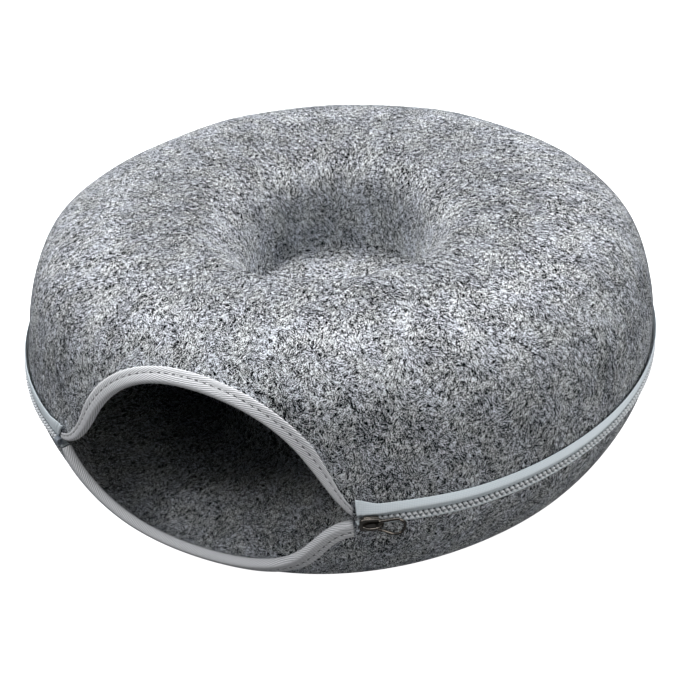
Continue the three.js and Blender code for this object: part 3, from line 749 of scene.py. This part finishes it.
# Slider: die-cast zinc plated black nickel. Its two plates hold the rows of teeth between them,
# with flanges along their edges, and a bridge on the front plate carries the pull.
SLIDER_ALONG = 0.0115               # from the mouth's right corner
SLIDER_ANGLE = MOUTH_ANGLE + SLIDER_ALONG / CHAIN_RADIUS
SLIDER_TILT = math.radians(14)      # the loose corner lets it lean back
PLATE = (0.0160, 0.0020, 0.0134)    # length, thickness, height at the nose
BACK_PLATE = (0.0150, 0.0016, 0.0092)
FLANGE = (0.0100, 0.0026, 0.0013)
PLATE_OUT = 0.0034                  # middle of the front plate, out from the teeth's middle
BACK_OUT = -0.0043
FLANGE_OUT = 0.0019
FLANGE_IN = 0.0008                  # from the plate's edge to the middle of a flange
PLATE_ROUND = (0.0040, 0.0006)      # radius at the corners and at the edges
BACK_ROUND = (0.0030, 0.0005)
FLANGE_ROUND = (0.0003, 0.0003)
TAIL = 0.78                         # height at the tail, as a share of that at the nose
BRIDGE_WIDTH = 0.0024
BRIDGE_WALL = 0.0015
BRIDGE_EDGE = 0.0003
BRIDGE_LINE = bezier((-0.0060, 0.0040), (-0.0060, 0.0095), (0.0066, 0.0095), (0.0066, 0.0040),
                     steps=14)      # along the zip, and out from the teeth's middle
SHARP = 1.0                         # an edge that turns by more is rounded


def cast_block(size, tail, corner, edge):
    """A block with X along the zip, narrowed to its tail, with round corners and rounded edges."""
    bm = bmesh.new()
    bmesh.ops.create_cube(bm, size=1, matrix=Matrix.Diagonal((*size, 1)))
    for vert in bm.verts:
        if vert.co.x > 0:
            vert.co.z *= tail
    through = [e for e in bm.edges if abs(e.verts[0].co.y - e.verts[1].co.y) > size[1] / 2]
    bmesh.ops.bevel(bm, geom=through, offset=corner, affect="EDGES", segments=5, profile=0.5,
                    material=-1)
    sharp = [e for e in bm.edges if e.calc_face_angle() > SHARP]
    bmesh.ops.bevel(bm, geom=sharp, offset=edge, affect="EDGES", segments=3, profile=0.5,
                    material=-1)
    return bm


def cast_bridge():
    """The bar that arches over the front plate: a strip bent to its line, then thickened."""
    bm = bmesh.new()
    steps = len(BRIDGE_LINE) - 1
    bmesh.ops.create_grid(bm, x_segments=steps, y_segments=1, size=0.5)
    for vert in bm.verts:
        along, out = BRIDGE_LINE[round((vert.co.x + 0.5) * steps)]
        vert.co = (along, -out, vert.co.y * BRIDGE_WIDTH)
    bmesh.ops.recalc_face_normals(bm, faces=bm.faces)
    bmesh.ops.solidify(bm, geom=bm.faces[:], thickness=BRIDGE_WALL)
    sharp = [e for e in bm.edges if e.calc_face_angle(0) > SHARP]
    bmesh.ops.bevel(bm, geom=sharp, offset=BRIDGE_EDGE, affect="EDGES", segments=2, profile=0.5,
                    material=-1)
    return bm


bm = bmesh.new()
flange_up = PLATE[2] * (1 + TAIL) / 4 - FLANGE_IN
lean = math.atan(PLATE[2] * (1 - TAIL) / 2 / PLATE[0])
for part, matrix in (
        (cast_block(PLATE, TAIL, *PLATE_ROUND), Matrix.Translation((0, -PLATE_OUT, 0))),
        (cast_block(BACK_PLATE, TAIL, *BACK_ROUND), Matrix.Translation((0, -BACK_OUT, 0))),
        (cast_block(FLANGE, 1, *FLANGE_ROUND),
         Matrix.Translation((0, -FLANGE_OUT, flange_up)) @ Matrix.Rotation(lean, 4, "Y")),
        (cast_block(FLANGE, 1, *FLANGE_ROUND),
         Matrix.Translation((0, -FLANGE_OUT, -flange_up)) @ Matrix.Rotation(-lean, 4, "Y")),
        (cast_bridge(), Matrix.Identity(4))):
    put(bm, part, on_zip(SLIDER_ANGLE) @ Matrix.Rotation(SLIDER_TILT, 4, "X") @ matrix)
    part.free()

# Black nickel plating: a dark warm metal, glossy with faint cloudy smears, that shows the lights as
# bright lines on its rounded edges.
SMEAR_SPAN = 0.00286
black_nickel, tree, shader = new_material("black_nickel_plating")
where = node(tree, "TexCoord", {}).outputs["Object"]
smear = node(tree, "TexNoise", {"Vector": where, "Scale": 1 / SMEAR_SPAN, "Detail": 3.0})
colour = node(tree, "Mix", {0: smear.outputs["Fac"], 6: linear("#524d47"), 7: linear("#77716a")},
              data_type="RGBA")
gloss = node(tree, "MapRange", {"Value": smear.outputs["Fac"], "To Min": 0.08, "To Max": 0.18})
tree.links.new(colour.outputs[2], shader.inputs["Base Color"])
tree.links.new(gloss.outputs[0], shader.inputs["Roughness"])
shader.inputs["Metallic"].default_value = 1.0
piece("slider", bm, black_nickel, "dark_metal", "zip_slider")


# Pull: a loop of plated steel wire, hooked under the slider's bridge, that widens to its free end
# and hangs a little down.
PULL_AT = (0.0045, -0.0056, 0.0)    # where the wire passes under the bridge
PULL_DROOP = math.radians(12)
PULL_LENGTH = 0.0180
PULL_NEAR = 0.0036                  # half the loop's width at the bridge and at its free end
PULL_FAR = 0.0062
PULL_WIDENS = (0.4, 0.7)            # between these shares of its arms' length
PULL_BULGE = 0.0010                 # handles of the end's bow, past the loop's length
WIRE = 0.00105                      # radius
WIRE_SIDES = 10


def bent_wire(path):
    """A closed wire: a round section carried along the points of its middle line."""
    bm = bmesh.new()
    count = len(path)
    rims = []
    for k, point in enumerate(path):
        ahead = (path[(k + 1) % count] - path[k - 1]).normalized()
        side = ahead.cross(Vector((0, 1, 0)))
        across = Matrix((side, Vector((0, 1, 0)), ahead)).transposed().to_4x4()
        ring = bmesh.ops.create_circle(bm, segments=WIRE_SIDES, radius=WIRE,
                                       matrix=Matrix.Translation(point) @ across)["verts"]
        rims.append({edge for vert in ring for edge in vert.link_edges})
    for k in range(count):
        bmesh.ops.bridge_loops(bm, edges=list(rims[k - 1] | rims[k]))
    bmesh.ops.recalc_face_normals(bm, faces=bm.faces)
    return bm


far = PULL_LENGTH - PULL_FAR
arm = bezier((0, PULL_NEAR), (far * PULL_WIDENS[0], PULL_NEAR), (far * PULL_WIDENS[1], PULL_FAR),
             (far, PULL_FAR), steps=10)
bow = PULL_LENGTH + PULL_BULGE
end = bezier((far, PULL_FAR), (bow, PULL_FAR), (bow, -PULL_FAR), (far, -PULL_FAR), steps=14)
loop = np.concatenate([arm, end[1:-1], arm[::-1] * (1, -1)])
bm = bmesh.new()
wire = bent_wire([Vector((x, 0, z)) for x, z in loop])
put(bm, wire, on_zip(SLIDER_ANGLE) @ Matrix.Translation(PULL_AT)
    @ Matrix.Rotation(PULL_DROOP, 4, "Y"))
wire.free()
piece("pull", bm, black_nickel, "dark_metal", "zip_pull")


# Stop: a sleeve of dark grey plastic moulded round the ends of the two tapes at the mouth's left
# corner, with the hole of its mould open towards the mouth.
STOP_ALONG = 0.0035                 # from the mouth's left corner
STOP_ANGLE = -MOUTH_ANGLE - STOP_ALONG / CHAIN_RADIUS
STOP = (0.0050, 0.0052, 0.0058)     # along the zip, through it, up
STOP_ROUND = 0.0018
STOP_RIM = 0.0008                   # wall round the hole
STOP_HOLE = 0.0036                  # depth
STOP_EDGE = 0.0003
bm = bmesh.new()
bmesh.ops.create_cube(bm, size=1, matrix=Matrix.Diagonal((*STOP, 1)))
along_zip = [e for e in bm.edges if abs(e.verts[0].co.x - e.verts[1].co.x) > STOP[0] / 2]
bmesh.ops.bevel(bm, geom=along_zip, offset=STOP_ROUND, affect="EDGES", segments=4, profile=0.5,
                material=-1)
end_face = max(bm.faces, key=lambda face: face.calc_center_median().x)
bmesh.ops.inset_region(bm, faces=[end_face], thickness=STOP_RIM)
bore = bmesh.ops.extrude_discrete_faces(bm, faces=[end_face])["faces"]
bmesh.ops.translate(bm, vec=(-STOP_HOLE, 0, 0), verts=bore[0].verts)
sharp = [e for e in bm.edges if e.calc_face_angle(0) > SHARP]
bmesh.ops.bevel(bm, geom=sharp, offset=STOP_EDGE, affect="EDGES", segments=2, profile=0.5,
                material=-1)
bmesh.ops.transform(bm, matrix=on_zip(STOP_ANGLE), verts=bm.verts)

# Dark grey moulded plastic: satin, with a fine mottle from the mould.
MOTTLE_SPAN = 0.00111
stop_plastic, tree, shader = new_material("dark_moulded_plastic")
where = node(tree, "TexCoord", {}).outputs["Object"]
mottle = node(tree, "TexNoise", {"Vector": where, "Scale": 1 / MOTTLE_SPAN, "Detail": 2.0})
colour = node(tree, "Mix", {0: mottle.outputs["Fac"], 6: linear("#727981"), 7: linear("#979fa7")},
              data_type="RGBA")
tree.links.new(colour.outputs[2], shader.inputs["Base Color"])
shader.inputs["Roughness"].default_value = 0.4
piece("stop", bm, stop_plastic, "zip_stop", "zip_stop")


# Stage: a plain white floor, a soft light overhead and smaller ones to the left, right and front,
# pale studio walls that are brightest above and behind, and the camera.
FLOOR_HALF = 8
stage_material, tree, shader = new_material("pale_floor")
shader.inputs["Base Color"].default_value = linear("#e8e8e8")
shader.inputs["Roughness"].default_value = 0.9
shader.inputs["Emission Color"].default_value = linear("#ffffff")
shader.inputs["Emission Strength"].default_value = 1.0
bm = bmesh.new()
bmesh.ops.create_grid(bm, x_segments=1, y_segments=1, size=FLOOR_HALF)
mesh = bpy.data.meshes.new("floor")
bm.to_mesh(mesh)
bm.free()
mesh.materials.append(stage_material)
floor = bpy.data.objects.new("floor", mesh)
bpy.context.scene.collection.objects.link(floor)
floor.visible_diffuse = False        # its own glow stays off the felt
floor.visible_glossy = False
floor.visible_shadow = False

VIEW_AZIMUTH = math.radians(27.3)
VIEW_ELEVATION = math.radians(32.33)
VIEW_DISTANCE = 1.0543
VIEW_ROLL = math.radians(-3.62)
VIEW_TARGET = Vector((0, AXIS_Y, 0.080))
SENSOR = 36                         # mm
FRAME_PX = 680
FOCAL_PX = 1312.1
CENTRE_PX = (337.7, 308.8)          # where the target shows in the frame
flat = Vector((math.sin(VIEW_AZIMUTH), -math.cos(VIEW_AZIMUTH), 0))
back = flat * math.cos(VIEW_ELEVATION) + Vector((0, 0, math.sin(VIEW_ELEVATION)))
camera = bpy.data.objects.new("camera", bpy.data.cameras.new("camera"))
bpy.context.scene.collection.objects.link(camera)
camera.data.sensor_width = SENSOR
camera.data.lens = SENSOR * FOCAL_PX / FRAME_PX
camera.data.shift_x = (FRAME_PX / 2 - CENTRE_PX[0]) / FRAME_PX
camera.data.shift_y = (CENTRE_PX[1] - FRAME_PX / 2) / FRAME_PX
turn = (-back).to_track_quat("-Z", "Y").to_matrix().to_4x4() @ Matrix.Rotation(VIEW_ROLL, 4, "Z")
camera.matrix_world = Matrix.Translation(VIEW_TARGET + back * VIEW_DISTANCE) @ turn
bpy.context.scene.camera = camera

right = Vector((math.cos(VIEW_AZIMUTH), math.sin(VIEW_AZIMUTH), 0))


def area_light(name, offset, size, power, colour):
    """A square soft light, offset to the right, towards the camera and up, aimed at the part."""
    light = bpy.data.lights.new(name, "AREA")
    light.size = size
    light.energy = power
    light.color = colour
    obj = bpy.data.objects.new(name, light)
    bpy.context.scene.collection.objects.link(obj)
    spot = right * offset[0] + flat * offset[1] + Vector((0, 0, offset[2]))
    aim = (VIEW_TARGET - spot).to_track_quat("-Z", "Y").to_matrix().to_4x4()
    obj.matrix_world = Matrix.Translation(spot) @ aim


area_light("softbox", (0.0, -0.55, 1.58), 0.7, 15, (1.0, 0.985, 0.96))
area_light("left_fill", (-1.15, 0.50, 1.05), 0.4, 5.5, (1.0, 0.99, 0.97))
area_light("right_fill", (1.40, 0.40, 0.45), 0.5, 2.5, (1.0, 0.99, 0.97))
area_light("front_fill", (0.80, 1.10, 0.38), 0.5, 3.3, (1.0, 0.99, 0.97))
SKY = 1.67                          # brightness of the studio's walls at their brightest: up and
BACKWARDS = 0.64                    # this far back, as a share of up
GROUND = 0.25                       # the ground's, as a share of that
GLOW = 0.18                         # and what the pale ground throws up everywhere
SKY_FROM = 0.03                     # how far towards the brightest side the light begins
DUSK = (-0.10, 0.02)                # heights between which the ground passes into the walls
GLOW_TO = -0.15                     # and from which down its glow is full
world = bpy.data.worlds.new("studio")
bpy.context.scene.world = world
world.use_nodes = True
sky = world.node_tree
way = node(sky, "TexCoord", {}).outputs["Generated"]
brightest = (Vector((0, 0, 1)) - BACKWARDS * flat).normalized()
towards = node(sky, "VectorMath", {0: way, 1: brightest}, operation="DOT_PRODUCT").outputs["Value"]
rise = node(sky, "MapRange", {"Value": towards, "From Min": SKY_FROM, "To Max": SKY})
height = node(sky, "SeparateXYZ", {"Vector": way}).outputs["Z"]
dusk = node(sky, "MapRange", {"Value": height, "From Min": DUSK[0], "From Max": DUSK[1],
                              "To Min": GROUND})
glow = node(sky, "MapRange", {"Value": height, "From Min": GLOW_TO, "From Max": 0.0, "To Min": GLOW,
                              "To Max": 0.0})
power = node(sky, "Math", {0: rise.outputs[0], 1: dusk.outputs[0], 2: glow.outputs[0]},
             operation="MULTIPLY_ADD")
sky.nodes["Background"].inputs["Color"].default_value = linear("#f4f8ff")
sky.links.new(power.outputs[0], sky.nodes["Background"].inputs["Strength"])
bpy.context.scene.view_settings.view_transform = "Standard"
